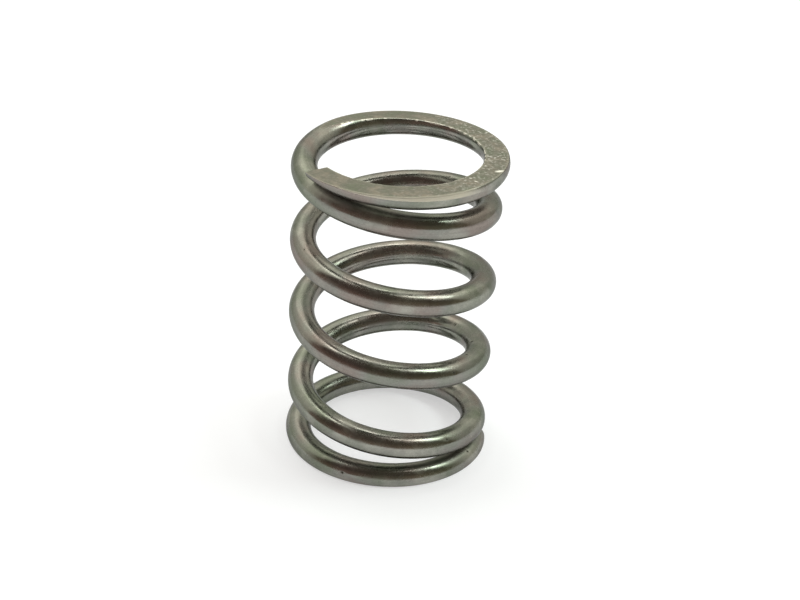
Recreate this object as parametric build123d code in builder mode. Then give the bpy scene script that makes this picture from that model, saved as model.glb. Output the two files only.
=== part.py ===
"""Small round-wire compression spring: a left-hand coil with closed and ground ends."""

import os
from itertools import pairwise
from math import cos, pi, radians, sin

from build123d import *

# The coil. Lengths are in mm, and angles in degrees.
wire_diameter = 2.0
mean_diameter = 14.0  # of the open coils, to the centre of the wire
free_length = 24.7
total_turns = 5.4
bottom_tip_angle = 0.0  # round from +X, so the wire starts on that side

# The closed ends, in turns from each tip of the wire.
level_turns = 0.38  # where the pitch starts to open
opening_turns = 0.82  # how far it takes to reach the pitch of the open coils
tip_bend_turns = 0.30  # how far the wire is bent over to meet the coil beside it
tip_gap = 0.05  # left between a tip and that coil

# Grinding and swell of the closed coils.
grind_depth = 0.57  # of metal, off the level stretch
swell_centre = 0.25  # turns from the tip to where the closed coil is widest
swell_reach = 0.68  # turns from there to where it is back to size
bottom_swell = 0.15
top_swell = 0.35

# The wire is laid as short bends, each an arc that runs smoothly into the next.
bends_per_turn = 12
heading_step = 0.0001  # turns, to find which way the wire first points

wire_radius = wire_diameter / 2
mean_radius = mean_diameter / 2
level_height = wire_radius - grind_depth


def opened(turns):
    """How much full pitch has built up this far from a tip, in turns."""
    share = min(max((turns - level_turns) / opening_turns, 0), 1)
    past_opening = max(turns - level_turns - opening_turns, 0)
    return opening_turns * (share**3 - share**4 / 2) + past_opening


def swelled(turns):
    """How much of an end's swell there is this far from its tip, from 0 to 1."""
    offset = min(max((turns - swell_centre) / swell_reach, -1), 1)
    return cos(offset * pi / 2) ** 2


open_turns = 2 * opened(total_turns / 2)
open_pitch = (free_length - 2 * level_height) / open_turns
tip_bend = wire_diameter + tip_gap - open_pitch * opened(1)


def height(turns):
    """Height of the wire's centre over a ground face, this far from that face's tip."""
    bent = max(1 - turns / tip_bend_turns, 0) ** 2
    return level_height + open_pitch * opened(turns) - tip_bend * bent


def centre_point(turns):
    """Point on the wire's centre line, in turns up from the bottom tip."""
    from_top = total_turns - turns
    radius = mean_radius + bottom_swell * swelled(turns) + top_swell * swelled(from_top)
    angle = radians(bottom_tip_angle) - 2 * pi * turns
    z = height(turns) if turns < from_top else free_length - height(from_top)
    return Vector(radius * cos(angle), radius * sin(angle), z)


bend_count = round(total_turns * bends_per_turn)
bend_points = [centre_point(total_turns * step / bend_count) for step in range(bend_count + 1)]
first_heading = centre_point(heading_step) - bend_points[0]

with BuildPart() as coil_spring:
    with BuildLine() as centre_line:
        heading = first_heading
        for start, end in pairwise(bend_points):
            bend = TangentArc(start, end, tangent=heading)
            heading = bend % 1
    with BuildSketch(Plane(origin=bend_points[0], z_dir=first_heading)):
        Circle(wire_radius)
    sweep(path=centre_line.line)
    split(bisect_by=Plane.XY, keep=Keep.TOP)  # the bottom end is ground flat
    split(bisect_by=Plane.XY.offset(free_length), keep=Keep.BOTTOM)  # and so is the top

coil_spring.part.label = "coil_spring"

os.makedirs("parts", exist_ok=True)
export_step(coil_spring.part, "parts/coil_spring.step")
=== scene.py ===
import math

import bpy
import numpy as np
from mathutils import Matrix, Vector, noise


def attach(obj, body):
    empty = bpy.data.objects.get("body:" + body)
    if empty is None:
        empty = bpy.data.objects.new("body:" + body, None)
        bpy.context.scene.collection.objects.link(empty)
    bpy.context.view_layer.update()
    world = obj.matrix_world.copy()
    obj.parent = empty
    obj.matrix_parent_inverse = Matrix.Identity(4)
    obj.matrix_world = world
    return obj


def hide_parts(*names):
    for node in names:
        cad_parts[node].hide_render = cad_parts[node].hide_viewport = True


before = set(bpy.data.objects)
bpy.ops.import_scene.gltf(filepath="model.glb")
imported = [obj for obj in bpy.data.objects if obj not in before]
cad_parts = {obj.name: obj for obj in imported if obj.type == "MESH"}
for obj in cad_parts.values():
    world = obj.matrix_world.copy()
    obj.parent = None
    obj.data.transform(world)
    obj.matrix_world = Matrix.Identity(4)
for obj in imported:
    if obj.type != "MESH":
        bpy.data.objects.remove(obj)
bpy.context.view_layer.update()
print("frame loaded:", sorted(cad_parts))

mm = 0.001  # Blender works in metres here, the sizes below are in mm

# sockets of a Mix node: its share, its two colours and their result, and its two plain values
shareIn, colourA, colourB, colourOut, valueA, valueB = 0, 6, 7, 2, 2, 3
# inputs of a Map Range node, in the order that the looks below give their limits in
limits = ("From Min", "From Max", "To Min", "To Max")


def toLinear(hexText):
    channels = [int(hexText[i:i + 2], 16) / 255 for i in (1, 3, 5)]
    return [c / 12.92 if c <= 0.04045 else ((c + 0.055) / 1.055) ** 2.4 for c in channels] + [1.0]


def addNode(tree, kind, settings=None, links=None, stops=()):
    # settings name a property of the node or one of its inputs, links feed its inputs, and stops
    # are the places and colours of its ramp
    node = tree.nodes.new("ShaderNode" + kind)
    for name, value in (settings or {}).items():
        if isinstance(name, int) or name in node.inputs:
            node.inputs[name].default_value = value
        else:
            setattr(node, name, value)
    for name, source in (links or {}).items():
        tree.links.new(source, node.inputs[name])
    if stops:
        ramp = node.color_ramp
        ramp.interpolation = "EASE"
        while len(ramp.elements) < len(stops):
            ramp.elements.new(0.5)  # anywhere, each is moved to its place next
        for element, (position, colour) in zip(ramp.elements, stops):
            element.position, element.color = position, toLinear(colour)
    return node


def newMaterial(name):
    material = bpy.data.materials.new(name)
    material.use_nodes = True
    material.node_tree.nodes.clear()
    return material, material.node_tree


# the spring's wire

coil = {
    "wireDiameter": 2.0,
    "meanDiameter": 14.0,  # to the centre of the wire, open coils
    "freeLength": 24.7,
    "turns": 5.4,
    "levelTurns": 0.38,  # from each tip, before the pitch opens
    "openingTurns": 0.82,
    "tipBendTurns": 0.30,
    "tipGap": 0.05,
    "grindDepth": 0.57,
    "swellCentre": 0.25,
    "swellReach": 0.68,
    "bottomSwell": 0.15,
    "topSwell": 0.35,
    # how the mesh is laid out
    "ringsPerTurn": 256,
    "headingStep": 1e-4,  # turns, to find which way the wire points
    "pointsAround": 64,
    "flatPoints": 10,  # each side of the middle, that go to a ground face and its rim
    "rimPoints": 4,  # of these, the ones on the rounded rim
    "rimShare": 0.3,  # the most of a narrow face's half width that its rim takes
    "pinchReach": 0.35,  # wire radii before a face starts, where its points draw together
    "missFall": 4,  # how fast a ring that misses a face counts as further outside it
    # edges of the ground faces, in mm
    "outerRim": 0.05,  # rounded edge
    "innerRim": 0.06,
    "tipChamfer": 0.06,
    "burr": 0.03,  # that the grinding rolled over the inside edge
    "burrPlace": -0.03,  # where it stands highest, from the edge of the flat
    "burrReach": 0.06,
    "burrPerMm": 2.3,  # how closely it comes and goes along the wire
    "burrRise": 2,  # how soon it is at its full height
    "cleanStart": 0.5,  # how much less of it there is where a face is still narrow
    "cleanWidth": 0.9,  # of a face, from where on it is all there
    # unevenness
    "contactReach": 0.8,  # mm between neighbouring coils where they have rubbed each other
    "waves": ((0.010, 0.40), (0.004, 1.3)),  # mm high from drawing and coiling, and waves to a mm
    "wavesAround": 1.6,  # how much closer they are round the wire than along it
    "wavesClear": 0.25,  # mm from a ground face where they reach their full height
    # small dark pits: turns from the lower tip, degrees round from the top towards the axis,
    # radius and depth
    "nicks": (
        (1.909, 42, 0.10, 0.03), (2.012, 34, 0.16, 0.05), (2.088, 6, 0.09, 0.02),
        (2.142, -59, 0.12, 0.03), (1.145, -47, 0.13, 0.04), (0.088, -34, 0.13, 0.04),
        (0.315, -73, 0.12, 0.03), (1.62, 70, 0.08, 0.02), (3.43, -28, 0.09, 0.02),
        (4.31, -66, 0.08, 0.02), (3.86, 25, 0.10, 0.03), (2.71, -12, 0.08, 0.02),
    ),
}

wireRadius = coil["wireDiameter"] / 2
meanRadius = coil["meanDiameter"] / 2
levelHeight = wireRadius - coil["grindDepth"]


def openedTurns(turns):
    opening = coil["openingTurns"]
    share = np.clip((turns - coil["levelTurns"]) / opening, 0, 1)
    past = np.maximum(turns - coil["levelTurns"] - opening, 0)
    return opening * (share ** 3 - share ** 4 / 2) + past


def swellShare(turns):
    offset = np.clip((turns - coil["swellCentre"]) / coil["swellReach"], -1, 1)
    return np.cos(offset * math.pi / 2) ** 2


openPitch = (coil["freeLength"] - 2 * levelHeight) / (2 * openedTurns(coil["turns"] / 2))
tipBend = coil["wireDiameter"] + coil["tipGap"] - openPitch * openedTurns(1.0)


def heightOverFace(turns):
    bent = np.maximum(1 - turns / coil["tipBendTurns"], 0) ** 2
    return levelHeight + openPitch * openedTurns(turns) - tipBend * bent


def wireCentre(turns):
    fromTop = coil["turns"] - turns
    swell = coil["bottomSwell"] * swellShare(turns) + coil["topSwell"] * swellShare(fromTop)
    radius = meanRadius + swell
    angle = -2 * math.pi * turns  # left-hand, so it turns clockwise on its way up
    z = np.where(turns < fromTop, heightOverFace(turns),
                 coil["freeLength"] - heightOverFace(fromTop))
    return np.stack([radius * np.cos(angle), radius * np.sin(angle), z], 1)


def unit(vectors):
    return vectors / np.linalg.norm(vectors, axis=1, keepdims=True)


def flatEdge(distance, rimWidth):
    # points across one half of a ring's top, from its middle to the end of the rim, the angle
    # where they end, and how far out the ground face reaches, all in wire radii; a ring that
    # misses the face draws its points together instead
    points = coil["flatPoints"]
    if distance >= 1:
        rest = 2 * math.pi * points / coil["pointsAround"]
        share = min((distance - 1) / coil["pinchReach"], 1)
        angle = rest * share * (2 - share)
        spread = angle * np.arange(points + 1) / points
        return np.sin(spread), np.cos(spread), angle, -coil["missFall"] * (distance - 1)
    half = math.sqrt(1 - distance ** 2)
    rim = min(rimWidth, coil["rimShare"] * half)
    outer = math.acos(distance) + rim
    border = half - rim
    inner = np.linspace(0, border, points - coil["rimPoints"] + 1)
    t = np.arange(1, coil["rimPoints"] + 1) / coil["rimPoints"]
    side = (1 - t) ** 2 * border + 2 * t * (1 - t) * half + t ** 2 * math.sin(outer)
    up = (1 - t ** 2) * distance + t ** 2 * math.cos(outer)
    return np.append(inner, side), np.append(np.full(len(inner), distance), up), outer, border


def halfRing(topDistance, lowDistance, rimWidth):
    # (side, up) in wire radii from the middle of the top down to the middle of the bottom, and
    # how far each point is inside a ground face
    topSide, topUp, topAngle, topBorder = flatEdge(topDistance, rimWidth)
    lowSide, lowUp, lowAngle, lowBorder = flatEdge(lowDistance, rimWidth)
    between = coil["pointsAround"] // 2 - 2 * coil["flatPoints"]
    angles = np.linspace(topAngle, math.pi - lowAngle, between + 1)[1:-1]
    side = np.concatenate([topSide, np.sin(angles), lowSide[::-1]])
    up = np.concatenate([topUp, np.cos(angles), -lowUp[::-1]])
    run = np.append(0, np.cumsum(np.hypot(np.diff(side), np.diff(up))))
    return side, up, np.maximum(topBorder - run, lowBorder - (run[-1] - run))


def noiseAt(points):
    values = [noise.noise(Vector(point)) for point in points.reshape(-1, 3)]
    return np.array(values).reshape(points.shape[:-1])


def surfaceLift(turns, run, side, up, inside):
    # waves and nicks in mm, both away from the ground faces, and where the nicks are
    free = np.clip(-inside / coil["wavesClear"], 0, 1)
    lift = np.zeros_like(side)
    for height, perMm in coil["waves"]:
        around = perMm * coil["wavesAround"]
        lift += free * height * noiseAt(np.stack([run * perMm, side * around, up * around], -1))
    nick = np.zeros_like(side)
    degreesRound = np.degrees(np.arctan2(side, up))
    for nickTurns, nickAngle, radius, depth in coil["nicks"]:
        offset = (degreesRound - nickAngle + 180) % 360 - 180
        lengthwise = (turns[:, None] - nickTurns) * 2 * math.pi * meanRadius
        dent = np.exp(-(np.hypot(lengthwise, np.radians(offset) * wireRadius) / radius) ** 2)
        nick = np.maximum(nick, dent)
        lift -= free * depth * dent
    return lift, nick


def buildWire():
    chamferTurns = coil["tipChamfer"] / (2 * math.pi * meanRadius)
    middle = np.linspace(chamferTurns, coil["turns"] - chamferTurns,
                         round(coil["turns"] * coil["ringsPerTurn"]))
    turns = np.concatenate([[0], middle, [coil["turns"]]])
    centres = wireCentre(turns)
    step = coil["headingStep"]
    tangents = unit(wireCentre(turns + step) - wireCentre(turns - step))
    ups = unit(np.array([0, 0, 1.0]) - tangents[:, 2:3] * tangents)
    sides = np.cross(tangents, ups)  # towards the coil's axis
    along = np.append(0, np.cumsum(np.linalg.norm(np.diff(centres, axis=0), axis=1)))
    topDistance = (coil["freeLength"] - centres[:, 2]) / (wireRadius * ups[:, 2])
    lowDistance = centres[:, 2] / (wireRadius * ups[:, 2])
    rings = []
    for distances in zip(topDistance, lowDistance):
        inner = halfRing(*distances, coil["innerRim"] / wireRadius)
        outer = halfRing(*distances, coil["outerRim"] / wireRadius)
        rings.append([np.append(inner[0], -outer[0][-2:0:-1])]
                     + [np.append(inner[row], outer[row][-2:0:-1]) for row in (1, 2)])
    side, up, inside = np.array(rings).transpose(1, 0, 2) * wireRadius
    run = np.repeat(along[:, None], side.shape[1], 1)
    lift, nick = surfaceLift(turns, run, side, up, inside)
    grow = 1 + lift / wireRadius
    grow[[0, -1]] *= 1 - coil["tipChamfer"] / wireRadius
    side, up = side * grow, up * grow
    # the burr
    rolled = np.clip(1 - np.abs(inside - coil["burrPlace"]) / coil["burrReach"], 0, 1) * (side > 0)
    rough = noiseAt(np.stack([run * coil["burrPerMm"], up, inside], -1))
    faceWidth = inside.max(axis=1, keepdims=True)
    rough -= coil["cleanStart"] * np.clip(1 - faceWidth / coil["cleanWidth"], 0, 1)
    side = side + coil["burr"] * rolled * np.clip(rough * coil["burrRise"], 0, 1)
    places = centres[:, None] + side[..., None] * sides[:, None] + up[..., None] * ups[:, None]
    places[..., 2] = np.clip(places[..., 2], 0, coil["freeLength"])
    # how close the next coil is, 1 where they nearly touch
    gap = np.full(side.shape, wireRadius)
    for wholeTurn in (-1, 1):
        beside = (turns + wholeTurn >= 0) & (turns + wholeTurn <= coil["turns"])
        away = places[beside] - wireCentre(turns[beside] + wholeTurn)[:, None]
        gap[beside] = np.minimum(gap[beside], np.linalg.norm(away, axis=2) - wireRadius)
    contact = np.clip(1 - gap / coil["contactReach"], 0, 1)
    cut = np.stack([topDistance < 1, lowDistance < 1], 1)
    straight, marks = np.stack([run, side, up], -1), np.stack([inside, nick, rough], -1)
    return places, straight, marks, contact, cut


bakeSheet = {
    "strips": 6,  # lengths of the wire laid side by side
    "gap": 0.35,  # mm between them
    "tipRoom": 3.0,  # mm kept for the tips' faces past the end of the strips
    "tipPlaces": ((0, 1.3), (-1, 4.0)),  # ring, and mm across the sheet to its middle
    "tipLift": 1.2,
    "fill": 0.98,  # of the sheet's side
    "margin": 0.01,
}


def bakeMap(mesh, straight, ringOf, pointOf):
    sheet, gap = bakeSheet, bakeSheet["gap"]
    girth = 2 * math.pi * wireRadius
    run = straight[:, 0, 0]
    stripLength = run[-1] / sheet["strips"]
    longest = max(sheet["strips"] * (girth + gap), stripLength + sheet["tipRoom"])
    strip = np.minimum((run[ringOf] / stripLength).astype(int), sheet["strips"] - 1)
    corners = []
    for ringStep, pointStep in ((0, 0), (0, 1), (1, 1), (1, 0)):
        u = strip * (girth + gap) + gap / 2 + (pointOf + pointStep) / coil["pointsAround"] * girth
        v = run[ringOf + ringStep] - strip * stripLength + gap
        corners.append(np.stack([u, v], 1))
    flat = np.stack(corners, 1).reshape(-1, 2)
    for ring, shift in sheet["tipPlaces"]:
        face = straight[ring, ::-1, 1:] if ring == 0 else straight[ring, :, 1:]
        flat = np.concatenate([flat, face + [shift, stripLength + gap * 2 + sheet["tipLift"]]])
    flat = flat * sheet["fill"] / longest + sheet["margin"]
    mesh.uv_layers.new(name="OFBake").data.foreach_set("uv", flat.astype(np.float32).ravel())


def buildSpring():
    places, straight, marks, contact, cut = buildWire()
    ringCount, count = places.shape[:2]
    border = coil["flatPoints"] - coil["rimPoints"]
    ringOf = np.repeat(np.arange(ringCount - 1), count)
    pointOf = np.tile(np.arange(count), ringCount - 1)
    first, after = ringOf * count + pointOf, ringOf * count + (pointOf + 1) % count
    faces = np.stack([first, after, after + count, first + count], 1).tolist()
    faces.append(list(range(count))[::-1])
    faces.append(list(range((ringCount - 1) * count, ringCount * count)))
    mesh = bpy.data.meshes.new("springWire")
    mesh.from_pydata((places.reshape(-1, 3) * mm).tolist(), [], faces)
    spring = bpy.data.objects.new("springWire", mesh)
    bpy.context.scene.collection.objects.link(spring)
    # slot 0 is the drawn wire with its rims, 1 the ground faces and the sheared tips
    nearTop = np.minimum(pointOf, count - 1 - pointOf) < border
    nearLow = np.abs(pointOf + 0.5 - count / 2) < border
    bothCut = cut[:-1] & cut[1:]
    ground = (nearTop & bothCut[ringOf, 0]) | (nearLow & bothCut[ringOf, 1])
    mesh.polygons.foreach_set("material_index", np.append(ground, [True, True]).astype(int))
    mesh.polygons.foreach_set("use_smooth", np.ones(len(faces), bool))
    # mm along, to the side and up, and then mm inside a ground face, nicks and how torn
    for name, values in (("straightWire", straight), ("surfaceMarks", marks)):
        layer = mesh.attributes.new(name, "FLOAT_VECTOR", "POINT")
        layer.data.foreach_set("vector", values.astype(np.float32).ravel())
    layer = mesh.attributes.new("coilContact", "FLOAT", "POINT")
    layer.data.foreach_set("value", contact.astype(np.float32).ravel())
    # a crisp edge round each tip's face
    ends = np.zeros(len(mesh.edges) * 2, int)
    mesh.edges.foreach_get("vertices", ends)
    ringA, ringB = ends[::2] // count, ends[1::2] // count
    sharp = (ringA == ringB) & ((ringA == 0) | (ringA == ringCount - 1))
    mesh.attributes.new("sharp_edge", "BOOLEAN", "EDGE").data.foreach_set("value", sharp)
    bakeMap(mesh, straight, ringOf, pointOf)
    mesh.update()
    return spring, float(straight[-1, 0, 0])


spring, wireLength = buildSpring()
print("spring wire:", len(spring.data.polygons), "faces,", round(wireLength, 1), "mm long")

# cold drawn carbon steel wire with a thin dull zinc film: grey that turns olive and brown in
# clouds, fine lengthwise lines from the die, a slightly uneven gloss that breaks the streaks of
# light, a few dark pits
drawnWire = {
    "base": "#868680",
    "oliveCloud": "#7B8073",
    "brownCloud": "#89807A",
    "brightCloud": "#9F9E95",
    # the colour of the pits
    "dirt": "#2E2C24",
    # bare torn metal of the burr, with painted glints
    "burr": "#CCC9C0",
    # outside of the upper ground end, rubbed in handling and rougher, with a painted highlight band
    # on it: mm below the edge, and colour
    "rubbedStops": ((0.0, "#B0ADA1"), (0.18, "#E2DED0"), (0.36, "#E2DED0"), (0.56, "#B4B1A5")),
    "rubbedFade": (0.90, 0.55),  # mm below the edge, from none of it to all of it
    "rubbedFrom": (13.5, 11.0),  # mm of wire before the upper tip, likewise
    "edgeTint": 0.5,
    # noise patterns: mm across a feature, detail, roughness, then how the wire that carries
    # them is shifted and squeezed
    "patterns": {
        "cloud": (2.6, 4.0, 0.6, (0, 0, 0), (1, 1, 1)),
        "tint": (3.4, 3.0, 0.5, (40, 11, 5), (1, 1.3, 1.3)),
        # 9 mm long; real lines are near 0.02 mm apart, drawn coarser to show
        "lines": (0.09, 3.0, 0.65, (0, 0, 0), (0.01, 1, 1)),
        "grain": (0.16, 2.0, 0.5, (0, 0, 0), (1, 1, 1)),
        "wear": (1 / 1.1, 5.0, 0.65, (7, 3, 9), (0.6, 1, 1)),
        "ripple": (0.9, 1.0, 0.5, (3, 8, 2), (0.7, 1.2, 1.2)),  # soft ripples of coiling
    },
    # what a pattern or a mark is read as: where it starts and is complete, and what it gives there
    "ranges": {
        "oliveCloud": ("tint", (0.48, 0.66)),
        "brownCloud": ("tint", (0.50, 0.34)),
        "brightCloud": ("cloud", (0.50, 0.72)),
        "lineTone": ("lines", (0.3, 0.7, 0.90, 1.08)),
        "grainTone": ("grain", (0.3, 0.7, 0.93, 1.07)),
        "gloss": ("wear", (0.34, 0.68, 0.15, 0.38)),  # lowest and highest roughness
        "below": ("inside", (0.0, -1.0)),  # mm below the edge of a ground face
        "burrStands": ("rough", (-0.12, 0.22, 0.0, 0.20)),  # mm that the torn edge is wide
        "dent": ("nick", (0.25, 0.75)),
        "contact": ("coilContact", (0.0, 0.5)),
    },
    "tornEdge": (0.0, 0.05),  # mm over which the burr's bright colour and painted glints come in
    # roughness of the worn places, each laid over the one before
    "glossAt": (("contact", 0.5), ("burr", 0.55), ("rubbed", 0.75), ("dirt", 0.6)),
    # depth in mm of what is too fine for the mesh
    "relief": (("ripple", 0.007), ("lines", 0.0012), ("grain", 0.0013)),
    "pitMm": 1.5,  # mean gap between stray pits
    "pitRadius": 0.055,
    "pitShare": 0.55,  # of the places for one, the share that stays empty
    "pitEdge": (-0.006, 0.012),
}


def makeDrawnSteel():
    material, tree = newMaterial("drawnSteelWire")
    look = drawnWire
    found = {}  # what each pattern, mark and range gives
    wire = addNode(tree, "Attribute", {"attribute_name": "straightWire"}).outputs["Vector"]
    along, side, up = addNode(tree, "SeparateXYZ", links={0: wire}).outputs
    marks = addNode(tree, "Attribute", {"attribute_name": "surfaceMarks"}).outputs["Vector"]
    marks = addNode(tree, "SeparateXYZ", links={0: marks}).outputs
    found["inside"], found["nick"], found["rough"] = marks
    contact = addNode(tree, "Attribute", {"attribute_name": "coilContact"})
    found["coilContact"] = contact.outputs["Fac"]
    for name, (size, detail, roughness, shift, squeeze) in look["patterns"].items():
        moved = addNode(tree, "Mapping", {"Location": shift, "Scale": squeeze}, {"Vector": wire})
        pattern = {"Scale": 1 / size, "Detail": detail, "Roughness": roughness}
        pattern = addNode(tree, "TexNoise", pattern, {"Vector": moved.outputs[0]})
        found[name] = pattern.outputs["Fac"]
    for name, (source, ends) in look["ranges"].items():
        part = addNode(tree, "MapRange", dict(zip(limits, ends)), {"Value": found[source]})
        found[name] = part.outputs[0]
    # clouds of the film, and lines from the drawing die
    colour = addNode(tree, "Mix", {"data_type": "RGBA", colourA: toLinear(look["base"]),
                                   colourB: toLinear(look["oliveCloud"])},
                     {shareIn: found["oliveCloud"]}).outputs[colourOut]
    for name in ("brownCloud", "brightCloud"):
        colour = addNode(tree, "Mix", {"data_type": "RGBA", colourB: toLinear(look[name])},
                         {shareIn: found[name], colourA: colour}).outputs[colourOut]
    tone = addNode(tree, "Math", {"operation": "MULTIPLY"},
                   {0: found["lineTone"], 1: found["grainTone"]}).outputs[0]
    colour = addNode(tree, "VectorMath", {"operation": "SCALE"},
                     {0: colour, "Scale": tone}).outputs[0]
    # the rubbed outside of the ground end: rougher, with a painted highlight band on it
    outside = addNode(tree, "Math", {"operation": "LESS_THAN", 1: 0.0}, {0: side}).outputs[0]
    above = addNode(tree, "Math", {"operation": "GREATER_THAN", 1: 0.0}, {0: up}).outputs[0]
    masks = [above]
    fromTip = [wireLength - before for before in look["rubbedFrom"]]
    for source, ends in ((found["below"], look["rubbedFade"]), (along, fromTip)):
        ends = dict(zip(limits, ends), interpolation_type="SMOOTHSTEP")
        masks.append(addNode(tree, "MapRange", ends, {"Value": source}).outputs[0])
    rubbed = outside
    for mask in masks:
        rubbed = addNode(tree, "Math", {"operation": "MULTIPLY"},
                         {0: rubbed, 1: mask}).outputs[0]
    # the painted highlight band, brightest a little below the edge
    paintedHighlightBand = addNode(tree, "ValToRGB", links={0: found["below"]}, stops=look["rubbedStops"])
    colour = addNode(tree, "Mix", {"data_type": "RGBA"}, {
        shareIn: rubbed, colourA: colour, colourB: paintedHighlightBand.outputs[0],
    }).outputs[colourOut]
    # the torn inside edge, bright where the burr stands: bare torn metal, with painted glints along
    # it
    tornGlint = addNode(tree, "Math", {"operation": "ADD"},
                   {0: found["burrStands"], 1: found["inside"]}).outputs[0]
    tornGlint = addNode(tree, "MapRange", dict(zip(limits, look["tornEdge"])), {"Value": tornGlint})
    inner = addNode(tree, "Math", {"operation": "GREATER_THAN", 1: 0.0}, {0: side})
    tornGlint = addNode(tree, "Math", {"operation": "MULTIPLY"},
                   {0: tornGlint.outputs[0], 1: inner.outputs[0]}).outputs[0]
    # pits, coloured dark: the modelled ones and stray small ones
    cells = addNode(tree, "TexVoronoi", {"Scale": 1 / look["pitMm"], "Randomness": 1.0},
                    {"Vector": wire}).outputs
    chance = addNode(tree, "SeparateXYZ", links={0: cells["Color"]}).outputs["X"]
    sizes = (look["pitShare"], 1.0, 0.0, look["pitRadius"] / look["pitMm"])
    size = addNode(tree, "MapRange", dict(zip(limits, sizes)), {"Value": chance}).outputs[0]
    stray = addNode(tree, "Math", {"operation": "SUBTRACT"},
                    {0: size, 1: cells["Distance"]}).outputs[0]
    stray = addNode(tree, "MapRange", dict(zip(limits, look["pitEdge"])), {"Value": stray})
    pit = addNode(tree, "Math", {"operation": "MAXIMUM"},
                  {0: stray.outputs[0], 1: found["dent"]}).outputs[0]
    found.update(burr=tornGlint, rubbed=rubbed, dirt=pit)
    for name in ("burr", "dirt"):
        colour = addNode(tree, "Mix", {"data_type": "RGBA", colourB: toLinear(look[name])},
                         {shareIn: found[name], colourA: colour}).outputs[colourOut]
    gloss = found["gloss"]
    for name, roughness in look["glossAt"]:
        gloss = addNode(tree, "Mix", {valueB: roughness},
                        {shareIn: found[name], valueA: gloss}).outputs[0]
    relief = {}
    for name, depth in look["relief"]:
        relief = addNode(tree, "Bump", {"Strength": 1.0, "Distance": depth * mm},
                         {"Height": found[name], **relief})
        relief = {"Normal": relief.outputs[0]}
    shader = addNode(tree, "BsdfPrincipled",
                     {"Metallic": 1.0, "Specular Tint": (look["edgeTint"],) * 3 + (1,)},
                     {"Base Color": colour, "Roughness": gloss, **relief})
    addNode(tree, "OutputMaterial", links={"Surface": shader.outputs[0]})
    return material


# the same steel cut square to the coil by a grinding wheel: matt, with crossing scratches, torn
# bright specks that are partly painted glints, dull pores, and lighter with more specks towards +X
groundFace = {
    "base": "#7B796F",
    # torn specks, lighter: partly painted glints
    "glintSpeck": "#E8E6E0",
    "pore": "#5F5D50",
    "oliveCloud": "#747769",
    "warmCloud": "#90897D",
    # lighter near the rim: polish, and a painted highlight
    "polishAndHighlight": "#A3A194",
    # the brightest torn spots: painted glints
    "glintSpot": "#F4F2EA",
    "edgeTint": 0.7,
    "scratchMm": 0.10,  # wheel grit of about 0.25 mm leaves finer lines, drawn coarser to show
    "scratchRun": 2.2,
    "scratchDepth": 0.003,
    "scratchAngles": (28, -37),
    "speckDepth": 0.002,
    # noise patterns: mm across a feature, detail and roughness
    "patterns": {
        "cloud": (1.22, 4.0, 0.6),
        "grain": (0.25, 3.0, 0.7),
        "patch": (1 / 0.9, 2.0, 0.5),
    },
    # what a pattern or a place is read as, as for the drawn wire
    "ranges": {
        "oliveCloud": ("cloud", (0.50, 0.36)),
        "warmCloud": ("cloud", (0.50, 0.66)),
        "lineTone": ("scratches", (0.7, 1.3, 0.84, 1.16)),
        "lighter": ("towardsPlusX", (0.0, 1.0, 1.0, 1.08)),
        "patchy": ("patch", (0.35, 0.65, 0.4, 1.2)),
        "tornGlint": ("grain", (0.53, 0.72)),
        "open": ("grain", (0.44, 0.26)),
        "polishAndHighlight": ("inside", (0.16, 0.0, 0.0, 0.5)),  # mm from the rim; polish, and a painted highlight
        "gloss": ("grain", (0.3, 0.7, 0.58, 0.36)),  # highest and lowest roughness
    },
    "towardsPlusX": (0.0, 6.5, 0.12, 0.95),  # mm towards +X, and how many specks there are there
    # the brightest torn spots, painted as glints: place across the upper face, half length in mm
    # and direction
    "glintSpots": ((7.42, -2.95, 0.42, 20), (5.61, 3.17, 0.16, 60), (5.60, -4.95, 0.14, -20),
               (5.25, -4.45, 0.12, 15)),
    "fleckWidth": 0.4,  # of its length
    "fleckEdge": (1.2, 0.6),
}


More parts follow.
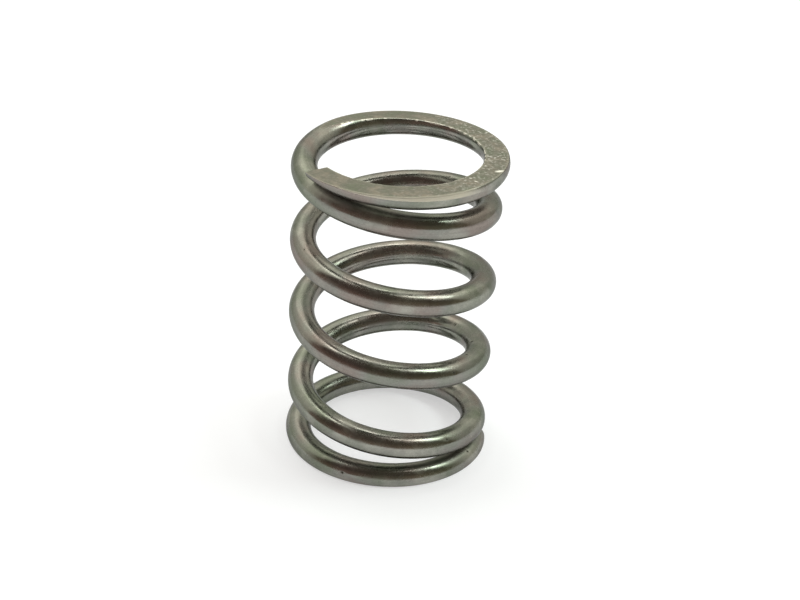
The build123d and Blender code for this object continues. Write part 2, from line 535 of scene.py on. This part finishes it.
def makeGroundSteel():
    material, tree = newMaterial("wheelGroundSteel")
    look = groundFace
    found = {}
    place = addNode(tree, "TexCoord").outputs["Object"]
    place = addNode(tree, "VectorMath", {"operation": "SCALE", "Scale": 1 / mm}, {0: place})
    place = place.outputs[0]  # mm
    marks = addNode(tree, "Attribute", {"attribute_name": "surfaceMarks"}).outputs["Vector"]
    found["inside"] = addNode(tree, "SeparateXYZ", links={0: marks}).outputs["X"]
    for name, (size, detail, roughness) in look["patterns"].items():
        pattern = {"Scale": 1 / size, "Detail": detail, "Roughness": roughness}
        pattern = addNode(tree, "TexNoise", pattern, {"Vector": place})
        found[name] = pattern.outputs["Fac"]
    # scratches in two directions
    scratches = []
    for angle in look["scratchAngles"]:
        turn = {"rotation_type": "Z_AXIS", "Angle": math.radians(angle)}
        turned = addNode(tree, "VectorRotate", turn, {"Vector": place})
        stretch = (1 / look["scratchRun"], 1 / look["scratchMm"], 1)
        drawnOut = addNode(tree, "Mapping", {"Location": (angle, 0, 0), "Scale": stretch},
                           {"Vector": turned.outputs[0]})
        scratch = addNode(tree, "TexNoise", {"Scale": 1.0, "Detail": 3.0, "Roughness": 0.6},
                          {"Vector": drawnOut.outputs[0]})
        scratches.append(scratch.outputs["Fac"])
    found["scratches"] = addNode(tree, "Math", {"operation": "ADD"},
                                 dict(enumerate(scratches))).outputs[0]
    # lighter, and with more specks, towards +X
    sideways = addNode(tree, "SeparateXYZ", links={0: place}).outputs["X"]
    towardsPlusX = dict(zip(limits, look["towardsPlusX"]), interpolation_type="SMOOTHSTEP")
    found["towardsPlusX"] = addNode(tree, "MapRange", towardsPlusX, {"Value": sideways}).outputs[0]
    for name, (source, ends) in look["ranges"].items():
        part = addNode(tree, "MapRange", dict(zip(limits, ends)), {"Value": found[source]})
        found[name] = part.outputs[0]
    for name, (one, other) in (("tone", ("lineTone", "lighter")), ("amount", ("towardsPlusX", "patchy")),
                               ("glintSpeck", ("tornGlint", "amount")), ("pore", ("open", "amount"))):
        product = addNode(tree, "Math", {"operation": "MULTIPLY"}, {0: found[one], 1: found[other]})
        found[name] = product.outputs[0]
    # the brightest torn spots, painted as glints
    for x, y, reach, angle in look["glintSpots"]:
        beside = addNode(tree, "Mapping", {
            "vector_type": "TEXTURE", "Location": (x, y, coil["freeLength"]),
            "Rotation": (0, 0, math.radians(angle)),
            "Scale": (reach, reach * look["fleckWidth"], 1),
        }, {"Vector": place})
        away = addNode(tree, "VectorMath", {"operation": "LENGTH"}, {0: beside.outputs[0]})
        glintTear = addNode(tree, "MapRange", dict(zip(limits, look["fleckEdge"])),
                       {"Value": away.outputs["Value"]}).outputs[0]
        if "glintSpot" in found:
            glintTear = addNode(tree, "Math", {"operation": "MAXIMUM"},
                           {0: found["glintSpot"], 1: glintTear}).outputs[0]
        found["glintSpot"] = glintTear
    colour = addNode(tree, "Mix", {"data_type": "RGBA", colourA: toLinear(look["base"]),
                                   colourB: toLinear(look["oliveCloud"])},
                     {shareIn: found["oliveCloud"]}).outputs[colourOut]
    colour = addNode(tree, "Mix", {"data_type": "RGBA", colourB: toLinear(look["warmCloud"])},
                     {shareIn: found["warmCloud"], colourA: colour}).outputs[colourOut]
    colour = addNode(tree, "VectorMath", {"operation": "SCALE"},
                     {0: colour, "Scale": found["tone"]}).outputs[0]
    for name in ("glintSpeck", "pore", "glintSpot", "polishAndHighlight"):
        colour = addNode(tree, "Mix", {"data_type": "RGBA", colourB: toLinear(look[name])},
                         {shareIn: found[name], colourA: colour}).outputs[colourOut]
    relief = {}
    for name, depth in (("scratches", look["scratchDepth"]), ("grain", look["speckDepth"])):
        relief = addNode(tree, "Bump", {"Strength": 1.0, "Distance": depth * mm},
                         {"Height": found[name], **relief})
        relief = {"Normal": relief.outputs[0]}
    shader = addNode(tree, "BsdfPrincipled",
                     {"Metallic": 1.0, "Specular Tint": (look["edgeTint"],) * 3 + (1,)},
                     {"Base Color": colour, "Roughness": found["gloss"], **relief})
    addNode(tree, "OutputMaterial", links={"Surface": shader.outputs[0]})
    return material


for makeFinish in (makeDrawnSteel, makeGroundSteel):
    spring.data.materials.append(makeFinish())
print("finishes:", ", ".join(material.name for material in spring.data.materials))
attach(spring, "root")
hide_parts("coil_spring")

# white drawing paper: flat, and light enough that the spring's shadow still shows on it
floorLook = {
    "size": 3000,
    "drop": 0.02,  # mm below the spring, so that the two don't flicker
    "colour": "#BFC1C7",
    "lift": 0.50,  # own light, which brings the paper up to white
}


def makePaper():
    material, tree = newMaterial("whitePaperSheet")
    paper = addNode(tree, "BsdfDiffuse", {"Color": toLinear(floorLook["colour"])})
    path = addNode(tree, "LightPath").outputs
    seen = path["Is Camera Ray"]
    for ray in ("Is Glossy Ray", "Is Transmission Ray"):
        seen = addNode(tree, "Math", {"operation": "MAXIMUM"}, {0: seen, 1: path[ray]}).outputs[0]
    glow = addNode(tree, "Math", {"operation": "MULTIPLY", 1: floorLook["lift"]}, {0: seen})
    lift = addNode(tree, "Emission", {"Color": (1, 1, 1, 1)}, {"Strength": glow.outputs[0]})
    both = addNode(tree, "AddShader", links={0: paper.outputs[0], 1: lift.outputs[0]})
    addNode(tree, "OutputMaterial", links={"Surface": both.outputs[0]})
    return material


half, low = floorLook["size"] / 2 * mm, -floorLook["drop"] * mm
floorCorners = [(x * half, y * half, low) for x, y in ((-1, -1), (1, -1), (1, 1), (-1, 1))]
floorMesh = bpy.data.meshes.new("paperFloor")
floorMesh.from_pydata(floorCorners, [], [(0, 1, 2, 3)])
floor = bpy.data.objects.new("paperFloor", floorMesh)
bpy.context.scene.collection.objects.link(floor)
floorMesh.materials.append(makePaper())

tent = {
    # the white cloth of the light tent, and its open side towards a dim room, from level with
    # the spring to straight above it
    "cloth": ((0.0, "#C9CABD"), (0.35, "#DBDBCF"), (0.7, "#FBFAEC"), (1.0, "#FFFEF4")),
    "clothStrength": 1.25,
    "front": ((0.0, "#938477"), (0.35, "#81756A"), (0.62, "#625A52"), (1.0, "#6A635B")),
    "frontStrength": 1.14,
    # what tints each of them from the left round to the right
    "clothSides": ((0.80, "#FFFFFF"), (0.88, "#DBDBD9")),
    "frontSides": ((0.10, "#FFEEF2"), (0.26, "#FFECF2"), (0.45, "#F5F1F1"),
                   (0.75, "#F1F3E8"), (0.90, "#EAF5E5")),
    "openingAzimuth": -88,  # degrees, of the open side's middle
    "openingElevation": -3,
    "openingEdge": (-0.06, 0.09),  # cosine of the angle to it, from all cloth to all room
}


def skyDirection(azimuth, elevation):
    turn, rise = math.radians(azimuth), math.radians(elevation)
    return Vector((math.cos(rise) * math.cos(turn), math.cos(rise) * math.sin(turn),
                   math.sin(rise)))


def buildTent():
    world = bpy.data.worlds.new("lightTent")
    bpy.context.scene.world = world
    world.use_nodes = True
    tree = world.node_tree
    tree.nodes.clear()
    direction = addNode(tree, "TexCoord").outputs["Generated"]
    apart = addNode(tree, "SeparateXYZ", links={0: direction}).outputs
    across = addNode(tree, "MapRange", {"From Min": -1.0}, {"Value": apart["X"]}).outputs[0]
    parts = []
    for part in ("cloth", "front"):
        upward = addNode(tree, "ValToRGB", links={0: apart["Z"]}, stops=tent[part])
        sideways = addNode(tree, "ValToRGB", links={0: across}, stops=tent[part + "Sides"])
        colour = addNode(tree, "VectorMath", {"operation": "MULTIPLY"},
                         {0: upward.outputs["Color"], 1: sideways.outputs["Color"]})
        parts.append(addNode(tree, "Background", {"Strength": tent[part + "Strength"]},
                             {"Color": colour.outputs[0]}).outputs[0])
    towards = skyDirection(tent["openingAzimuth"], tent["openingElevation"])
    forward = addNode(tree, "VectorMath", {"operation": "DOT_PRODUCT", 1: towards},
                      {0: direction}).outputs["Value"]
    edge = dict(zip(limits, tent["openingEdge"]), interpolation_type="SMOOTHSTEP")
    opening = addNode(tree, "MapRange", edge, {"Value": forward}).outputs[0]
    lit = addNode(tree, "MixShader", links={0: opening, 1: parts[0], 2: parts[1]})
    addNode(tree, "OutputWorld", links={"Surface": lit.outputs[0]})


buildTent()

softBoxes = {
    # azimuth from +X and elevation of each box's middle, its width and its length up the tent,
    # in degrees of view
    "rightStrip": {"azimuth": 9, "elevation": 54, "across": 17, "upward": 17,
                   "radiance": 7.0, "colour": "#F0FFF6"},
    "topBox": {"azimuth": 78, "elevation": 82, "across": 52, "upward": 28,
               "radiance": 3.2, "colour": "#FFFDF6"},
    "leftPanel": {"azimuth": 118, "elevation": 43, "across": 26, "upward": 28,
                  "radiance": 0.55, "colour": "#FFFDF2"},
}
boxDistance = 500  # mm from the middle of the spring


def addSoftBox(name, box):
    width, height = (2 * boxDistance * math.tan(math.radians(box[side]) / 2) * mm
                     for side in ("across", "upward"))
    lamp = bpy.data.lights.new(name, "AREA")
    lamp.shape, lamp.size, lamp.size_y = "RECTANGLE", width, height
    lamp.energy = box["radiance"] * math.pi * width * height
    lamp.color = toLinear(box["colour"])[:3]
    thing = bpy.data.objects.new(name, lamp)
    bpy.context.scene.collection.objects.link(thing)
    way = skyDirection(box["azimuth"], box["elevation"])
    thing.location = way * boxDistance * mm + Vector((0, 0, coil["freeLength"] / 2 * mm))
    thing.rotation_euler = (-way).to_track_quat("-Z", "Y").to_euler()


for name, box in softBoxes.items():
    addSoftBox(name, box)
print("light tent:", ", ".join(softBoxes))

view = {
    "place": (0.0, -108.06, 70.74),
    "aim": (0.639, -0.113, 12.145),
    "roll": 2.92,  # degrees, so that the spring leans a little
    "lens": 70.93,
    "nearest": 5,  # mm, the least that it sees at
}

lens = bpy.data.cameras.new("productCamera")
lens.lens = view["lens"]
lens.clip_start = view["nearest"] * mm
camera = bpy.data.objects.new("productCamera", lens)
bpy.context.scene.collection.objects.link(camera)
place, aim = Vector(view["place"]) * mm, Vector(view["aim"]) * mm
camera.location = place
turn = (aim - place).to_track_quat("-Z", "Y").to_matrix()
roll = Matrix.Rotation(math.radians(view["roll"]), 3, "Z")
camera.rotation_euler = (turn @ roll).to_euler()
bpy.context.scene.camera = camera
bpy.context.scene.view_settings.view_transform = "Standard"
